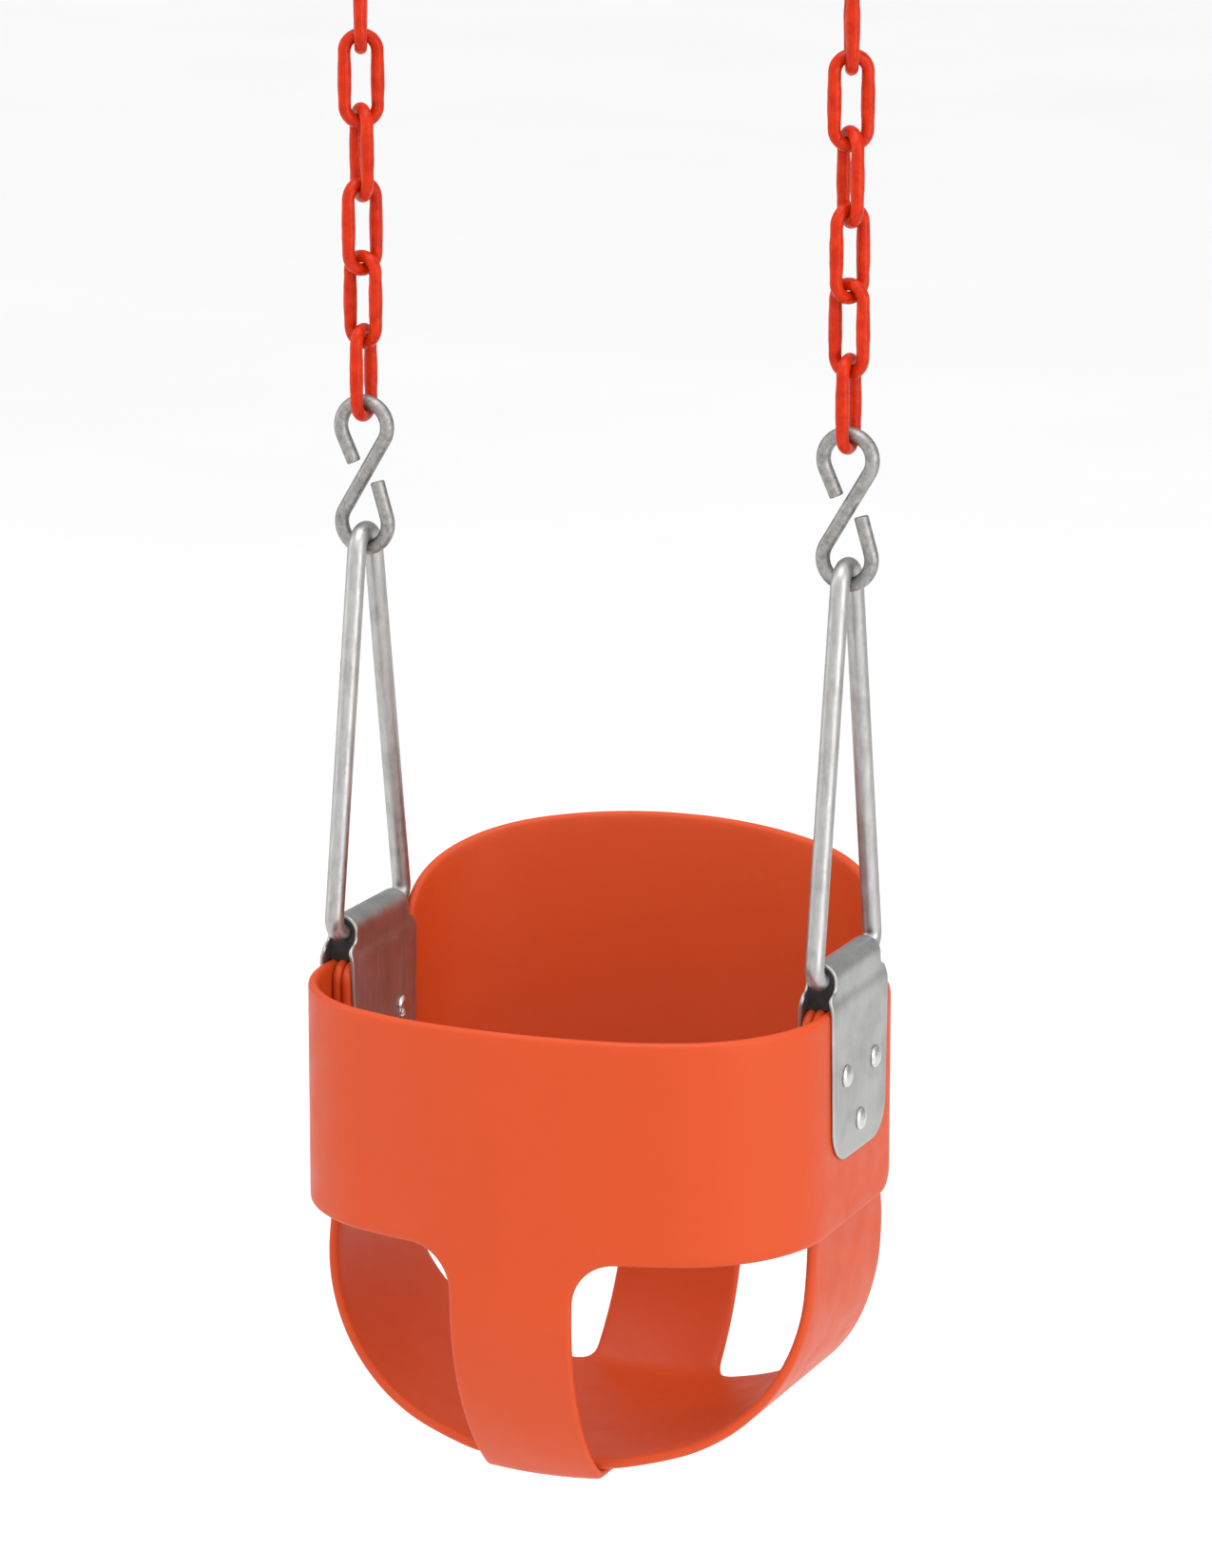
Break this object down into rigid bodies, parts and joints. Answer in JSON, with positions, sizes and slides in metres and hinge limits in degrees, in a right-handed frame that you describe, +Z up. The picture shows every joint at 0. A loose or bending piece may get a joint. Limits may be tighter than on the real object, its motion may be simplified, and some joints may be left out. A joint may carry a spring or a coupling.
{
  "type": "toddler bucket swing seat on chains",
  "caption": "High-back moulded bucket swing seat for a toddler, hung by triangle shackles, S-hooks and two plastic-coated chains.",
  "frame": {"origin": "midway between the eyes of the two top hooks, on the line that the swing hangs from", "axes": "+Z up along the chains, +X to the swing's own left-right span seen from the front, front of the seat faces -Y"},
  "size_m": [0.287, 0.239, 0.8053],
  "materials": {
    "seat_polymer": "satin moulded polymer",
    "chain_coat": "glossy dipped vinyl",
    "chain_steel": "plain steel inside the coat",
    "galvanised_rod": "mottled galvanised",
    "bright_rod": "bright zinc",
    "bracket_plate": "satin rolled plate",
    "black_liner": "matt black",
    "rivet_steel": "bright domed"
  },
  "bodies": {
    "hangers": {"left_top_hook": "galvanised_rod", "right_top_hook": "galvanised_rod"},
    "links_1": {"left_link_1_coat": "chain_coat", "left_link_1_core": "chain_steel", "right_link_1_coat": "chain_coat", "right_link_1_core": "chain_steel"},
    "links_2": {"left_link_2_coat": "chain_coat", "left_link_2_core": "chain_steel", "right_link_2_coat": "chain_coat", "right_link_2_core": "chain_steel"},
    "links_3": {"left_link_3_coat": "chain_coat", "left_link_3_core": "chain_steel", "right_link_3_coat": "chain_coat", "right_link_3_core": "chain_steel"},
    "links_4": {"left_link_4_coat": "chain_coat", "left_link_4_core": "chain_steel", "right_link_4_coat": "chain_coat", "right_link_4_core": "chain_steel"},
    "links_5": {"left_link_5_coat": "chain_coat", "left_link_5_core": "chain_steel", "right_link_5_coat": "chain_coat", "right_link_5_core": "chain_steel"},
    "links_6": {"left_link_6_coat": "chain_coat", "left_link_6_core": "chain_steel", "right_link_6_coat": "chain_coat", "right_link_6_core": "chain_steel"},
    "s_hooks": {"left_s_hook": "galvanised_rod", "right_s_hook": "galvanised_rod"},
    "left_shackle": {"left_shackle": "bright_rod"},
    "right_shackle": {"right_shackle": "bright_rod"},
    "bucket": {"front_belt": "seat_polymer", "seat_sling": "seat_polymer", "back_panel": "seat_polymer", "left_bracket": "bracket_plate", "left_liner": "black_liner", "left_rivets": "rivet_steel", "right_bracket": "bracket_plate", "right_liner": "black_liner", "right_rivets": "rivet_steel"}
  },
  "joints": [
    {"name": "chain_swing", "type": "hinge", "parent": "hangers", "child": "links_1", "pos_m": [0, 0, -0.061], "axis": [1, 0, 0], "range_deg": [-35, 35]},
    {"name": "link_2_flex", "type": "hinge", "parent": "links_1", "child": "links_2", "pos_m": [0, 0, -0.09025], "axis": [1, 0, 0], "range_deg": [-4, 4]},
    {"name": "link_3_flex", "type": "hinge", "parent": "links_2", "child": "links_3", "pos_m": [0, 0, -0.12655], "axis": [1, 0, 0], "range_deg": [-4, 4]},
    {"name": "link_4_flex", "type": "hinge", "parent": "links_3", "child": "links_4", "pos_m": [0, 0, -0.16285], "axis": [1, 0, 0], "range_deg": [-4, 4]},
    {"name": "link_5_flex", "type": "hinge", "parent": "links_4", "child": "links_5", "pos_m": [0, 0, -0.19915], "axis": [1, 0, 0], "range_deg": [-4, 4]},
    {"name": "link_6_flex", "type": "hinge", "parent": "links_5", "child": "links_6", "pos_m": [0, 0, -0.23545], "axis": [1, 0, 0], "range_deg": [-4, 4]},
    {"name": "s_hook_rock", "type": "hinge", "parent": "links_6", "child": "s_hooks", "pos_m": [0, 0, -0.2714], "axis": [1, 0, 0], "range_deg": [-8, 8]},
    {"name": "left_shackle_sway", "type": "hinge", "parent": "s_hooks", "child": "left_shackle", "pos_m": [-0.1275, 0, -0.3363], "axis": [0, 1, 0], "range_deg": [-12, 12]},
    {"name": "right_shackle_sway", "type": "hinge", "parent": "s_hooks", "child": "right_shackle", "pos_m": [0.1275, 0, -0.3363], "axis": [0, 1, 0], "range_deg": [-12, 12]},
    {"name": "bucket_level", "type": "hinge", "parent": "left_shackle", "child": "bucket", "pos_m": [-0.1275, 0, -0.5343], "axis": [0, 1, 0], "range_deg": [-12, 12]}
  ],
  "couplings": [
    {"joint": "right_shackle_sway", "follows": "left_shackle_sway", "ratio": 1},
    {"joint": "bucket_level", "follows": "left_shackle_sway", "ratio": -1}
  ]
}
